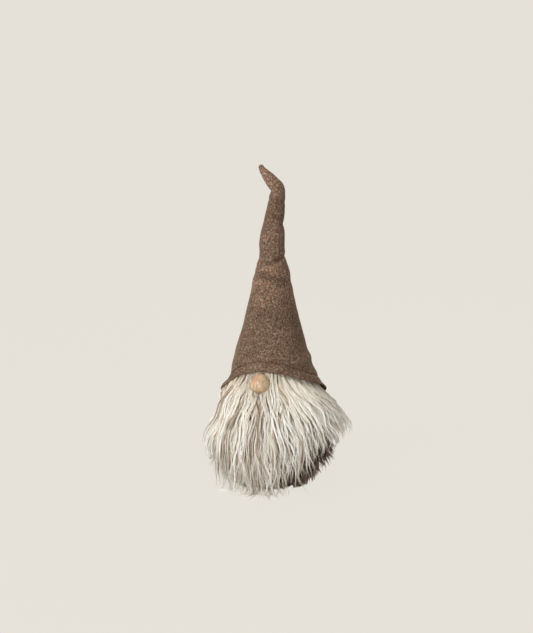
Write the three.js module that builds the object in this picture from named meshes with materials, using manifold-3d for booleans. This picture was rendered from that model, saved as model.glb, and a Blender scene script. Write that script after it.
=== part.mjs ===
// Tomte gnome figurine: a weighted fur body with a long shaggy beard, a turned wooden nose
// and a tall stuffed felt hat whose wire core lets the slender end be bent.
// Millimetres, +Z up. The gnome faces -Y and the origin is the centre of its base, on the floor.

import * as THREE from "three";
import { mergeVertices } from "three/addons/utils/BufferGeometryUtils.js";
import Module from "manifold-3d";

const wasm = await Module();
wasm.setup();

// ---------------------------------------------------------------- driving dimensions

const GAP = 0.3; // clearance between pieces that touch
const ROUND = 28; // facets round the body and the hat's cone
const SLIM = 16; // facets round the hat's slender end
const WIRE_SIDES = 8;
const FAR = 400; // larger than anything the cutting shapes have to reach

const FELT = 2.0; // thickness of the hat's wool felt
const CLOTH = 1.5; // thickness of the fur fabric's woven backing
const PILE_BACK = 15; // standing height of the brown body fur
const PILE_FRONT = 11; // the same fur, pressed flat under the beard

const BASE_R = 44;
const BASE_FELT_T = 2.5;
const BOARD_R = 40;
const BOARD_T = 3;

const BRIM_SIDE_Z = 139; // height of the hat's brim at its sides
const BRIM_TILT = THREE.MathUtils.degToRad(30); // the brim is high over the nose and low behind
const BRIM_TURN = THREE.MathUtils.degToRad(12); // the brim's highest point is this far round to +X
const HEM_WIDTH = 12;
const HEM_T = 1.6;

const FRONT_SPAN = 100; // degrees either side of the nose that the beard covers
const CLOTH_FOOT_Z = 90; // lower edge of the beard's backing
const CLOTH_TOP_Z = 167;
const FUR_TOP_Z = 164;
const FLOOR_CLEAR = 3; // the beard's tips end this far above the floor
const FUR_FOOT_Z = 4;

const NOSE_SEAT_Z = 149.5;
const NOSE_R = 15;
const NOSE_HALF_HEIGHT = 15.2;
const NOSE_TAPER = 0.15; // how much slimmer the nose's upper half is
const STEM_R = 2.5;
const WASHER_R = 9;

const WIRE_R = 0.9;
const BORE_R = WIRE_R + 0.7; // the wire's way through the stuffing
const TIP_LEAN = THREE.MathUtils.degToRad(-38); // the curled end leans towards -X
const TIP_LENGTH = 41.5;

// Outlines as [radius, height], from the bottom up.
const SACK_LINE = [[41, 2.8], [52, 10], [62, 26], [69, 52], [66, 85], [56, 125], [43, 160], [29, 184], [13, 198],
  [8, 205], [10, 217]];
const HAT_LINE = [[79, 84], [79, 112], [76, 134], [65, 150], [56, 177], [43.7, 221], [33, 265], [24.6, 307],
  [18.4, 327], [17.6, 350], [14.8, 376], [12.9, 398], [11, 419]];
const BEARD_LINE = [[102, FLOOR_CLEAR], [106, 30], [106, 65], [101, 95], [91, 122], [76, 146], [60, 163], [50, 170]];
const BAG_LINE = [[34, 9], [46, 17], [50, 36], [24, 50], [6, 55], [5, 59], [6.5, 64]];

// The three creases where the wire inside the hat bends. reach is the felt that folds, above and
// below the crease: the radius there times the tangent of half the largest bend, plus clearance.
const CREASES = [
  { name: "lower", z: 321, reach: 6.6 },
  { name: "middle", z: 374, reach: 4.8 },
  { name: "upper", z: 425, reach: 6.8 },
];
const WIRE_REACH = 1.0;

// ---------------------------------------------------------------- helpers

const v2 = (r, z) => new THREE.Vector2(r, z);

// A smooth line through a few [radius, height] points.
function smooth(points, steps) {
  return new THREE.SplineCurve(points.map(([r, z]) => v2(r, z))).getPoints(steps);
}

// The line moved sideways, outwards where the distance is positive.
function offset(line, distance) {
  return line.map((p, i) => {
    const before = line[Math.max(i - 1, 0)];
    const after = line[Math.min(i + 1, line.length - 1)];
    const along = after.clone().sub(before).normalize();
    return v2(p.x + along.y * distance, p.y - along.x * distance);
  });
}

const sackOutside = smooth(SACK_LINE, 12);
const hatOutside = smooth(HAT_LINE, 22);

// The radius of an outline at a height.
function radiusAt(line, z) {
  const i = Math.max(1, line.findIndex((p) => p.y >= z));
  const [a, b] = [line[i - 1], line[i]];
  return a.x + ((b.x - a.x) * (z - a.y)) / (b.y - a.y);
}

// The stretch of an outline between two heights, moved in towards the axis.
function stretch(line, low, high, inset = 0) {
  const heights = [low, ...line.map((p) => p.y).filter((z) => z > low + 0.5 && z < high - 0.5), high];
  return heights.map((z) => v2(radiusAt(line, z) - inset, z));
}

// A profile turned about the Z axis. It runs up the outside and comes back down the inside or the axis.
function turned(points, sides = ROUND) {
  return new THREE.LatheGeometry(points, sides).rotateX(Math.PI / 2);
}

// A closed profile with the two lines as its outer and inner walls.
function wall(outer, inner) {
  return [...outer, ...[...inner].reverse(), outer[0].clone()];
}

// A line closed to the axis at both ends.
function toAxis(line) {
  return [v2(0, line[0].y), ...line, v2(0, line[line.length - 1].y)];
}

function ring(radius, tube, z) {
  return new THREE.TorusGeometry(radius, tube, 6, SLIM).translate(0, 0, z);
}

// A disc or rod along Z between two heights.
function rod(radius, low, high, sides = ROUND) {
  return new THREE.CylinderGeometry(radius, radius, high - low, sides)
    .rotateX(Math.PI / 2)
    .translate(0, 0, (low + high) / 2);
}

// A round section swept along a curve, hollow if bore is given.
function swept(curve, radius, steps, sides, bore = 0) {
  const section = new THREE.Shape().absarc(0, 0, radius, 0, 2 * Math.PI);
  if (bore) section.holes.push(new THREE.Path().absarc(0, 0, bore, 0, 2 * Math.PI));
  return new THREE.ExtrudeGeometry(section, { steps, curveSegments: sides, extrudePath: curve });
}

function solid(geometry) {
  const bare = geometry.clone();
  bare.deleteAttribute("normal");
  bare.deleteAttribute("uv");
  const merged = mergeVertices(bare, 1e-4);
  const made = new wasm.Mesh({
    numProp: 3,
    vertProperties: merged.attributes.position.array,
    triVerts: new Uint32Array(merged.index.array),
  });
  return new wasm.Manifold(made);
}

function geometryOf(body) {
  const { numProp, vertProperties, triVerts } = body.getMesh();
  const count = vertProperties.length / numProp;
  const positions = new Float32Array(count * 3);
  for (let i = 0; i < count; i++) {
    positions.set(vertProperties.subarray(i * numProp, i * numProp + 3), i * 3);
  }
  const geometry = new THREE.BufferGeometry();
  geometry.setAttribute("position", new THREE.BufferAttribute(positions, 3));
  geometry.setIndex(new THREE.BufferAttribute(triVerts, 1));
  geometry.computeVertexNormals();
  return geometry;
}

// Everything between two azimuths, in degrees from the front (-Y) towards +X.
function wedge(from, to) {
  const turn = (degrees) => THREE.MathUtils.degToRad(degrees - 90);
  const shape = new THREE.Shape();
  shape.lineTo(FAR * Math.cos(turn(from)), FAR * Math.sin(turn(from)));
  shape.absarc(0, 0, FAR, turn(from), turn(to));
  return solid(new THREE.ExtrudeGeometry(shape, { depth: FAR, bevelEnabled: false, curveSegments: 8 }));
}

// The half space above the tilted brim, raised by a distance square to it.
function aboveBrim(raise) {
  const block = new THREE.BoxGeometry(2 * FAR, 2 * FAR, FAR)
    .translate(0, 0, FAR / 2 + raise)
    .rotateX(-BRIM_TILT)
    .rotateZ(BRIM_TURN)
    .translate(0, 0, BRIM_SIDE_Z);
  return solid(block);
}

// How far the hat's slender end leans to +X at a height.
function lean(z) {
  return 7.5 * THREE.MathUtils.smoothstep(z, 345, 425);
}

function leaning(geometry) {
  const at = geometry.attributes.position;
  for (let i = 0; i < at.count; i++) at.setX(i, at.getX(i) + lean(at.getZ(i)));
  return geometry;
}

// ---------------------------------------------------------------- materials

const surface = (color, roughness, metalness = 0) => new THREE.MeshStandardMaterial({ color, roughness, metalness });
const materials = {
  hatFelt: surface(0x735c4d, 0.95),
  beardFur: surface(0xc9c2b3, 0.8),
  bodyFur: surface(0x54443a, 0.85),
  cloth: surface(0x6b5646, 0.9),
  noseWood: surface(0xcbab84, 0.4),
  stuffing: surface(0xe9e7e1, 1),
  cotton: surface(0xcdc3ad, 0.9),
  sand: surface(0xb79f78, 1),
  board: surface(0xa98a63, 0.8),
  wire: surface(0x9a9c9e, 0.35, 1),
  cord: surface(0x5a483b, 0.8),
  plastic: surface(0xe4e0d6, 0.5),
};

const gnome = new THREE.Group();

function add(name, geometry, material, group = gnome) {
  const mesh = new THREE.Mesh(geometry, material);
  mesh.name = name;
  group.add(mesh);
  return mesh;
}

// ---------------------------------------------------------------- nose

// The nose sits square to the sloping face: the group's -Y points out of the face.
const slope = Math.atan2(radiusAt(sackOutside, NOSE_SEAT_Z - 5) - radiusAt(sackOutside, NOSE_SEAT_Z + 5), 10);
const noseGroup = new THREE.Group();
noseGroup.position.set(0, -radiusAt(sackOutside, NOSE_SEAT_Z), NOSE_SEAT_Z);
noseGroup.rotation.x = -slope;
noseGroup.updateMatrix();
gnome.add(noseGroup);

const NOSE_OUT = -(CLOTH + 2 * GAP + NOSE_R); // the nose's centre along the group's Y

// A turned egg, its slim end up.
function egg(scale) {
  const line = Array.from({ length: 13 }, (_, i) => {
    const t = (Math.PI * i) / 12;
    const r = NOSE_R * Math.sin(t) * (1 + NOSE_TAPER * Math.cos(t)) / (1 + NOSE_TAPER * 0.1);
    return v2(i % 12 ? r * scale : 0, -NOSE_HALF_HEIGHT * Math.cos(t) * scale);
  });
  return turned(line, 24).translate(0, NOSE_OUT, 0);
}

// A rod along the group's Y.
function peg(radius, from, to) {
  return rod(radius, from, to, 16).rotateX(-Math.PI / 2);
}

function inPlace(geometry) {
  return solid(geometry.clone().applyMatrix4(noseGroup.matrix));
}

const STEM_OUTER_END = NOSE_OUT + 4; // inside the nose
const STEM_INNER_END = 7;
const WASHER_FRONT = 3.1; // clear of the curved cloth behind the nose
const stemHole = peg(STEM_R + GAP, STEM_OUTER_END - 0.5, FAR / 10);

add("nose", geometryOf(solid(egg(1)).subtract(solid(stemHole))), materials.noseWood, noseGroup);
add("nose_stem", peg(STEM_R, STEM_OUTER_END, STEM_INNER_END), materials.plastic, noseGroup);
add(
  "nose_washer",
  geometryOf(
    solid(peg(WASHER_R, WASHER_FRONT, WASHER_FRONT + 1.5))
      .subtract(solid(peg(STEM_R + GAP, WASHER_FRONT - 1, WASHER_FRONT + 3))),
  ),
  materials.plastic,
  noseGroup,
);
const stemKeepOut = inPlace(stemHole);
const noseKeepOut = inPlace(egg(1.04)).add(stemKeepOut);
const washerKeepOut = inPlace(peg(WASHER_R + 0.6, CLOTH, STEM_INNER_END + 0.6));

// ---------------------------------------------------------------- base and ballast

const BOARD_Z = BASE_FELT_T + GAP + CLOTH + GAP; // the sack's edge is turned in under the board

function addBase() {
  add("base_felt", rod(BASE_R, 0, BASE_FELT_T), materials.hatFelt);
  add("base_board", rod(BOARD_R, BOARD_Z, BOARD_Z + BOARD_T), materials.board);
}

const bagOutside = smooth(BAG_LINE, 9);

function addBallast() {
  const outside = bagOutside;
  const inside = offset(outside, -0.8);
  inside[0].x = outside[0].x;
  const floor = outside[0].y;
  const skin = [v2(0, floor), ...outside, ...inside.reverse(), v2(0, floor + 0.8)];
  skin[skin.length - 2].y = floor + 0.8;
  add("ballast_bag", turned(skin), materials.cotton);

  const sand = offset(outside.filter((p) => p.y < 49), -1.2);
  sand[0].y = floor + 1.2;
  add("ballast_sand", turned(toAxis(sand)), materials.sand);
  add("ballast_tie", ring(6.4, 1, 59), materials.cord);
}

// ---------------------------------------------------------------- body

function addSack() {
  // The lower edge turns in under the board as a flat lip.
  const lip = v2(BOARD_R - 12, BASE_FELT_T + GAP);
  const foot = v2(sackOutside[0].x, BASE_FELT_T + GAP);
  const outside = [lip, foot, ...sackOutside.slice(1)];
  const inside = [lip.clone().setY(lip.y + CLOTH), v2(foot.x + 0.5, foot.y + CLOTH), ...offset(sackOutside, -CLOTH).slice(1)];
  add(
    "body_sack",
    geometryOf(solid(turned(wall(outside, inside))).subtract(stemKeepOut)),
    materials.cloth,
  );
  add("neck_drawcord", ring(8.4 + 1.5 + GAP, 1.5, 206), materials.cord);
}

function addBodyStuffing() {
  const skin = offset(sackOutside, -CLOTH - GAP);
  skin[0] = v2(sackOutside[0].x, BASE_FELT_T + GAP + CLOTH);
  const outside = stretch(skin, BOARD_Z + BOARD_T + GAP + 1, 196);
  const roundBag = offset(bagOutside, 1).filter((p) => p.y > outside[0].y + 1 && p.y < 54).reverse();
  const hollow = [v2(0, 68), v2(9, 68), v2(9, 56.5), ...roundBag, v2(36, outside[0].y)];
  const profile = [...hollow, ...outside, v2(0, outside[outside.length - 1].y)];
  add("body_stuffing", geometryOf(solid(turned(profile)).subtract(washerKeepOut)), materials.stuffing);
}

// Fur and beard keep clear of the hat: outside its hem's inner face, above the brim.
function hatKeepOut() {
  const inside = stretch(hatOutside, 84, 300, FELT + GAP + HEM_T + GAP);
  return solid(rod(FAR, 50, 301)).subtract(solid(turned(toAxis(inside)))).intersect(aboveBrim(-0.6));
}

// A sleeve over the sack, from its skin plus inset to its skin plus outset.
function sleeve(inset, outset, low, high) {
  return solid(turned(wall(stretch(sackOutside, low, high, -outset), stretch(sackOutside, low, high, -inset))));
}

const front = wedge(-FRONT_SPAN, FRONT_SPAN);
const behind = wedge(FRONT_SPAN + 0.4, 360 - FRONT_SPAN - 0.4);
const underHat = hatKeepOut();

function addBodyFur() {
  const back = sleeve(GAP, PILE_BACK, FUR_FOOT_Z, FUR_TOP_Z).intersect(behind).subtract(underHat);
  add("body_fur_back", geometryOf(back), materials.bodyFur);
  const low = sleeve(GAP, PILE_FRONT, FUR_FOOT_Z, CLOTH_FOOT_Z - GAP).intersect(front);
  add("body_fur_front", geometryOf(low), materials.bodyFur);
}

// ---------------------------------------------------------------- beard

// Zones of the beard's pile: azimuths in degrees, and the height that the tips hang to.
const BEARD_ZONES = [
  ["side_right", -FRONT_SPAN, -62, 48],
  ["front_right", -62, -22, FLOOR_CLEAR],
  ["centre", -22, 22, FLOOR_CLEAR],
  ["front_left", 22, 62, FLOOR_CLEAR],
  ["side_left", 62, FRONT_SPAN, 48],
];
const LOCKS = ROUND / 2; // thick locks right round the beard

// Draws the pile into locks: a ridge on every second facet, ragged along the foot.
function intoLocks(geometry) {
  const at = geometry.attributes.position;
  for (let i = 0; i < at.count; i++) {
    const [x, y, z] = [at.getX(i), at.getY(i), at.getZ(i)];
    const ridge = Math.cos(LOCKS * Math.atan2(x, -y));
    const depth = 0.03 * THREE.MathUtils.smoothstep(CLOTH_TOP_Z - z, 0, 60);
    at.setXYZ(i, x * (1 + depth * ridge), y * (1 + depth * ridge), z);
  }
  return geometry;
}

function addBeard() {
  const cloth = sleeve(GAP, GAP + CLOTH, CLOTH_FOOT_Z, CLOTH_TOP_Z).intersect(front).subtract(stemKeepOut);
  add("beard_cloth", geometryOf(cloth), materials.cloth);

  const outline = intoLocks(turned(toAxis(smooth(BEARD_LINE, 12))));
  const overFur = stretch(sackOutside, FUR_FOOT_Z, CLOTH_FOOT_Z, -(PILE_FRONT + 2 * GAP));
  const overCloth = stretch(sackOutside, CLOTH_FOOT_Z + 0.1, FAR / 2, -(CLOTH + 3 * GAP));
  overFur.unshift(v2(overFur[0].x, 0));
  const core = solid(turned(toAxis([...overFur, ...overCloth])));
  const pile = solid(outline).subtract(core).subtract(underHat).subtract(noseKeepOut);
  for (const [name, from, to, foot] of BEARD_ZONES) {
    const zone = pile.intersect(wedge(from + 0.2, to - 0.2)).subtract(solid(rod(FAR, -FAR, foot)));
    add("beard_pile_" + name, geometryOf(zone), materials.beardFur);
  }
}

// ---------------------------------------------------------------- hat

const [lowerCrease, middleCrease, upperCrease] = CREASES;

// A line of one radius with the hat outline's own heights, so that leaning bends both alike.
function column(radius, low, high) {
  return stretch(hatOutside, low, high).map((p) => v2(radius, p.y));
}

// A length of the hat's felt between two heights, as a sleeve.
function feltSleeve(low, high) {
  return wall(stretch(hatOutside, low, high), stretch(hatOutside, low, high, FELT));
}

// Stuffing in a length of the hat, bored for the wire.
function wadding(low, high) {
  return wall(stretch(hatOutside, low, high, FELT + GAP), column(BORE_R, low, high));
}

function addCone() {
  const top = lowerCrease.z - lowerCrease.reach;
  const shell = solid(turned(feltSleeve(85, top))).intersect(aboveBrim(0));
  add("hat_cone", geometryOf(shell), materials.hatFelt);

  const hemLine = (inset) => stretch(hatOutside, 85, 200, inset);
  const band = solid(turned(wall(hemLine(FELT + GAP), hemLine(FELT + GAP + HEM_T))));
  add("hat_hem", geometryOf(band.intersect(aboveBrim(0)).subtract(aboveBrim(HEM_WIDTH))), materials.hatFelt);

  // The stuffing sits on the sack's shoulders, with a hollow for the drawn neck and the wire's foot.
  const outside = stretch(hatOutside, CLOTH_TOP_Z + 4, top, FELT + GAP + HEM_T + GAP);
  const shoulder = stretch(sackOutside, CLOTH_TOP_Z + 4, 194, -2 * GAP);
  const inside = [...shoulder, v2(18, 197), v2(18, 226), v2(BORE_R, 226), v2(BORE_R, top)];
  add("hat_stuffing_cone", turned(wall(outside, inside)), materials.stuffing);
}

// The felt, stuffing and wire of the slender end between two creases.
function addStem(name, below, above) {
  const [low, high] = [below.z + below.reach, above.z - above.reach];
  add("hat_stem_" + name, leaning(turned(feltSleeve(low, high), SLIM)), materials.hatFelt);
  add("hat_stuffing_" + name, leaning(turned(wadding(low, high), SLIM)), materials.stuffing);
  const wire = toAxis(column(WIRE_R, below.z + WIRE_REACH, above.z - WIRE_REACH));
  add("hat_wire_" + name, leaning(turned(wire, WIRE_SIDES)), materials.wire);
}

// The wire starts as a flat loop that is sewn to the stuffing, then runs up the hat's middle.
function addWireFoot() {
  const [loopR, loopZ] = [12, 221];
  const loop = Array.from({ length: 9 }, (_, i) => {
    const a = (i * 2 * Math.PI * 0.85) / 8;
    return new THREE.Vector3(loopR * Math.cos(a), loopR * Math.sin(a), loopZ);
  });
  const rise = [[3, -3.5, loopZ + 0.6], [0, 0, loopZ + 5], [0, 0, loopZ + 20], [0, 0, lowerCrease.z - WIRE_REACH]];
  const path = new THREE.CatmullRomCurve3([...loop, ...rise.map((p) => new THREE.Vector3(...p))]);
  add("hat_wire_foot", swept(path, WIRE_R, 30, WIRE_SIDES / 2), materials.wire);
}

function addStraightCrease(crease, sides) {
  const [low, high] = [crease.z - crease.reach + GAP, crease.z + crease.reach - GAP];
  add("hat_crease_" + crease.name, leaning(turned(feltSleeve(low, high), sides)), materials.hatFelt);
}

// The curled end has a frame of its own at the upper crease, its Z along the tip.
function addTip() {
  const tip = new THREE.Group();
  const pivot = new THREE.Vector3(lean(upperCrease.z), 0, upperCrease.z);
  tip.position.copy(pivot);
  tip.rotation.y = TIP_LEAN;
  gnome.add(tip);

  const start = upperCrease.reach;
  const tipR = radiusAt(hatOutside, upperCrease.z - upperCrease.reach);
  const outline = smooth([[tipR, start], [9, 15], [7.4, 24], [5.6, 33], [4.4, 38.5], [0.01, TIP_LENGTH]], 10);
  outline[outline.length - 1].x = 0;
  const hollow = offset(outline, -FELT).slice(0, -2);
  hollow[0].y = start;
  const roof = v2(0, TIP_LENGTH - 2.4 * FELT);
  add("hat_tip", turned([...outline, roof, ...hollow.reverse(), outline[0].clone()], SLIM), materials.hatFelt, tip);

  const fill = offset(outline, -FELT - GAP).slice(0, -3);
  fill[0].y = start;
  const top = fill[fill.length - 1].y;
  add("hat_stuffing_tip", turned(wall(fill, [v2(BORE_R, start), v2(BORE_R, top)]), SLIM), materials.stuffing, tip);
  add("hat_wire_tip", rod(WIRE_R, WIRE_REACH, top - 1, WIRE_SIDES), materials.wire, tip);

  // The felt that folds at the upper crease, swept round the bend.
  const along = new THREE.Vector3(Math.sin(TIP_LEAN), 0, Math.cos(TIP_LEAN));
  const bend = new THREE.QuadraticBezierCurve3(
    pivot.clone().add(new THREE.Vector3(lean(418) - lean(425), 0, GAP - start)),
    pivot,
    pivot.clone().addScaledVector(along, start - GAP),
  );
  add("hat_crease_upper", swept(bend, tipR, 6, SLIM / 2, tipR - FELT), materials.hatFelt);
}

addBase();
addBallast();
addSack();
addBodyStuffing();
addBodyFur();
addBeard();
addCone();
addWireFoot();
addStraightCrease(lowerCrease, ROUND);
addStem("lower", lowerCrease, middleCrease);
addStraightCrease(middleCrease, SLIM);
addStem("upper", middleCrease, upperCrease);
addTip();

export default gnome;
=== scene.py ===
"""Tomte gnome figurine: felt hat, shaggy beard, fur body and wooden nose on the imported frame."""
import itertools
import math

import bpy
import numpy as np
from mathutils import Matrix, Vector


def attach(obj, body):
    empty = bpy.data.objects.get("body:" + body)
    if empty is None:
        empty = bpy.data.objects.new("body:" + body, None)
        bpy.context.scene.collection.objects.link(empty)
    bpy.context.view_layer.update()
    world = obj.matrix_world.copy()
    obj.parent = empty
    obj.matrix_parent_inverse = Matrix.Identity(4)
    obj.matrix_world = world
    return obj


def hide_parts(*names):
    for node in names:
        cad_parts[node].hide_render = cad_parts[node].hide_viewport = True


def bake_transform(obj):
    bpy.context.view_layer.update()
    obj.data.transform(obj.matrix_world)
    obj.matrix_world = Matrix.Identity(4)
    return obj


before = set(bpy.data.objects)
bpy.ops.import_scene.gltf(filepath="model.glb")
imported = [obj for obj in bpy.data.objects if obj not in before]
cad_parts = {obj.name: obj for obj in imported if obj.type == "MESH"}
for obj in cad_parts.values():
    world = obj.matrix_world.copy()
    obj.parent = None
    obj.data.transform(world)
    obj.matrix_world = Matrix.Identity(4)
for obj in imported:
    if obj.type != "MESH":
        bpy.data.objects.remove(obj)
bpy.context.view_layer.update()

MM = 0.001
rng = np.random.default_rng(24)

# ------------------------------------------------------------------ outlines, in millimetres
# Each outline is a list of (radius, height) points: the body's sack, the hat and the front of the beard.
SACK = np.array([(41, 2.8), (52, 10), (62, 26), (69, 52), (66, 85), (56, 125), (43, 160), (29, 184),
                 (13, 198)], float)
HAT = np.array([(79, 84), (79, 112), (76, 134), (65, 150), (56, 177), (43.7, 221), (33, 265), (24.6, 307),
                (18.4, 327), (17.6, 350), (14.8, 376), (12.9, 398), (11, 419)], float)
BEARD = np.array([(102, 0), (106, 30), (106, 65), (101, 95), (91, 122), (77, 146), (60, 164),
                  (50, 170)], float)
SACK_LOW_Z = 3.0
SACK_TOP_Z = SACK[-1, 1]
STEM_TOP_Z = HAT[-1, 1]  # the curled tip runs on from here
TIP_LENGTH = 47.0
BRIM_Z = 139.0  # the height at which the brim's plane crosses the hat's axis
BRIM_TILT = math.radians(30)  # the brim is high in front and low behind
BRIM_TURN = math.radians(12)  # its highest point is this far round to +X
LEAN = 7.5  # how far the slender end leans to +X
LEAN_START_Z = 345.0
ELBOW_Z = 425.0  # where the tip folds over


def spline(points, n=400):
    """A smooth [radius, height] line through the points, as dense columns of radius and height."""
    p = np.vstack([2 * points[0] - points[1], points, 2 * points[-1] - points[-2]])
    out = []
    per = n // (len(points) - 1) + 1
    t = np.linspace(0, 1, per, endpoint=False)[:, None]
    for a, b, c, d in zip(p, p[1:], p[2:], p[3:]):
        square = 2 * a - 5 * b + 4 * c - d
        cube = 3 * b - a - 3 * c + d
        out.append(0.5 * (2 * b + (c - a) * t + square * t**2 + cube * t**3))
    out.append(points[-1:])
    return np.vstack(out)


SACK_FINE = spline(SACK)
HAT_FINE = spline(HAT)
BEARD_FINE = spline(BEARD)


def radius(line, z):
    """The radius of a smooth outline at a height."""
    return np.interp(z, line[:, 1], line[:, 0])


def smoothstep(x, low, high):
    """0 below low, 1 above high and a smooth rise between."""
    t = np.clip((x - low) / (high - low), 0, 1)
    return t * t * (3 - 2 * t)


def bump_at(x, centre, width):
    """A smooth bump of height 1 round a centre."""
    return np.exp(-(((x - centre) / width) ** 2))


def sack_radius(z):
    """The sack's radius at any height, taken at its ends beyond them."""
    return radius(SACK_FINE, np.clip(z, SACK_LOW_Z, SACK_TOP_Z))


def lean(z):
    """How far the hat's slender end leans to +X at a height."""
    return LEAN * smoothstep(z, LEAN_START_Z, ELBOW_Z)


# ------------------------------------------------------------------ smooth noise

HASH_PRIMES = (73856093, 19349663, 83492791)
SEED_PRIME = 2654435761
MIX_PRIME = 1274126177


def lattice_value(cell, seed):
    """A repeatable random value in -1..1 for each whole-numbered cell (n, 3)."""
    k = cell[:, 0] * HASH_PRIMES[0] ^ cell[:, 1] * HASH_PRIMES[1] ^ cell[:, 2] * HASH_PRIMES[2]
    k = (k ^ (seed * SEED_PRIME)) & 0xFFFFFFFF
    k = (k ^ (k >> 13)) * MIX_PRIME & 0xFFFFFFFF
    return ((k ^ (k >> 16)) & 0xFFFF) / 32767.5 - 1


def lattice_noise(p, scale, seed):
    """Smooth value noise in -1..1 at points p (n, 3), with features of size scale."""
    q = p / scale
    base = np.floor(q).astype(np.int64)
    f = q - base
    f = f * f * (3 - 2 * f)
    total = np.zeros(len(p))
    for corner in itertools.product((0, 1), repeat=3):
        weight = np.where(corner, f, 1 - f).prod(axis=1)
        total += weight * lattice_value(base + corner, seed)
    return total


# ------------------------------------------------------------------ meshes

BAKE_UV = "OFBake"
SHADE_COLUMNS = 64  # how many shades a fur's texture coordinates tell apart


def make_mesh(name, co, faces, uv=None, smooth=True):
    """A mesh object from vertices (n, 3) in millimetres and a list of face arrays (m, 3) or (m, 4)."""
    mesh = bpy.data.meshes.new(name)
    co = np.asarray(co, float).reshape(-1, 3) * MM
    mesh.vertices.add(len(co))
    mesh.vertices.foreach_set("co", co.astype(np.float32).ravel())
    loops = np.concatenate([f.ravel() for f in faces])
    totals = np.concatenate([np.full(len(f), f.shape[1]) for f in faces])
    starts = np.concatenate([[0], np.cumsum(totals)[:-1]])
    mesh.loops.add(len(loops))
    mesh.loops.foreach_set("vertex_index", loops.astype(np.int32))
    mesh.polygons.add(len(totals))
    mesh.polygons.foreach_set("loop_start", starts.astype(np.int32))
    mesh.polygons.foreach_set("loop_total", totals.astype(np.int32))
    mesh.polygons.foreach_set("use_smooth", np.full(len(totals), smooth))
    if uv is not None:
        layer = mesh.uv_layers.new(name=BAKE_UV)
        layer.data.foreach_set("uv", np.asarray(uv)[loops].astype(np.float32).ravel())
    mesh.update(calc_edges=True)
    obj = bpy.data.objects.new(name, mesh)
    bpy.context.scene.collection.objects.link(obj)
    return obj


def grid_faces(rows, cols):
    """Quads of a grid of rows by cols vertices, joined round the columns."""
    r = np.arange(rows - 1)[:, None]
    c = np.arange(cols)[None, :]
    n = (c + 1) % cols
    return np.stack([r * cols + c, r * cols + n, (r + 1) * cols + n, (r + 1) * cols + c], -1).reshape(-1, 4)


def ring_points(angle, r, z):
    """Points round the Z axis. Angles run from the front (-Y) towards +X."""
    return np.stack([r * np.sin(angle), -r * np.cos(angle), z], -1)


def turned_rows(outline, columns):
    """Vertices of a round solid: a ring of so many columns for each (radius, height) of its outline."""
    angle = np.linspace(0, 2 * math.pi, columns, endpoint=False)
    rows = [ring_points(angle, np.full(columns, r), np.full(columns, z)) for r, z in outline]
    return np.array(rows).reshape(-1, 3)


def finish_piece(obj, material, body):
    """Gives a piece its material and the CAD body that it rides on."""
    obj.data.materials.append(material)
    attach(obj, body)


def strands(name, points, thick, column, first):
    """Tapering three-sided fibres. points is (n, s, 3) from root to tip; thick is (n,) the radius.

    column is each fibre's shade, and first is where along the root-to-tip colouring it starts, from 0 to 1.
    """
    n, s, _ = points.shape
    tangent = np.gradient(points, axis=1)
    tangent /= np.linalg.norm(tangent, axis=2, keepdims=True) + 1e-9
    ref = points[:, :1] * np.array([1, 1, 0.0]) + 1e-3
    side = np.cross(tangent, ref)
    side /= np.linalg.norm(side, axis=2, keepdims=True) + 1e-9
    up = np.cross(tangent, side)
    t = np.linspace(0, 1, s)
    taper = np.clip(1.05 - t**2.2, 0.12, 1)[:-1]
    r = thick[:, None, None] * taper[None, :, None]
    rings = []
    for k in range(3):
        angle = 2 * math.pi * k / 3
        rings.append(points[:, :-1] + r * (math.cos(angle) * side[:, :-1] + math.sin(angle) * up[:, :-1]))
    per = (s - 1) * 3 + 1
    co = np.empty((n, per, 3))
    co[:, :-1] = np.stack(rings, 2).reshape(n, -1, 3)
    co[:, -1] = points[:, -1]
    uv = np.empty((n, per, 2))
    across = np.array([0.15, 0.5, 0.85])
    uv[:, :-1, 0] = (column[:, None] + np.tile(across, s - 1)[None, :]) / SHADE_COLUMNS
    uv[:, :-1, 1] = np.repeat(t[:-1], 3)[None, :]
    uv[:, -1, 0] = (column + 0.5) / SHADE_COLUMNS
    uv[:, -1, 1] = 1.0
    uv[..., 1] = 0.01 + 0.98 * (first[:, None] + (1 - first[:, None]) * uv[..., 1])
    one = grid_faces(s - 1, 3)
    last = (s - 2) * 3
    cap = np.array([[last, last + 1, per - 1], [last + 1, last + 2, per - 1], [last + 2, last, per - 1]])
    offset = (np.arange(n) * per)[:, None, None]
    sides = (one[None] + offset).reshape(-1, 4)
    tips = (cap[None] + offset).reshape(-1, 3)
    return make_mesh(name, co, [sides, tips], uv.reshape(-1, 2))


# ------------------------------------------------------------------ materials

WHITE = (1, 1, 1, 1)
BLACK = (0, 0, 0, 1)


def srgb(r, g, b):
    """A screen colour of 0 to 255 as the linear colour that a shader takes."""
    def linear(c):
        c /= 255
        return c / 12.92 if c <= 0.04045 else ((c + 0.055) / 1.055) ** 2.4
    return (linear(r), linear(g), linear(b), 1)


def grey(level):
    return (level, level, level, 1)


def new_material(name):
    mat = bpy.data.materials.new(name)
    mat.use_nodes = True
    return mat, mat.node_tree.nodes, mat.node_tree.links, mat.node_tree.nodes["Principled BSDF"]


def ramp(nodes, stops):
    node = nodes.new("ShaderNodeValToRGB")
    elements = node.color_ramp.elements
    elements[0].position, elements[0].color = stops[0]
    elements[1].position, elements[1].color = stops[-1]
    for position, color in stops[1:-1]:
        elements.new(position).color = color
    return node


def noise(nodes, links, coords, scale, detail, rough):
    node = nodes.new("ShaderNodeTexNoise")
    node.inputs["Scale"].default_value = scale
    node.inputs["Detail"].default_value = detail
    node.inputs["Roughness"].default_value = rough
    links.new(coords, node.inputs["Vector"])
    return node


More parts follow.
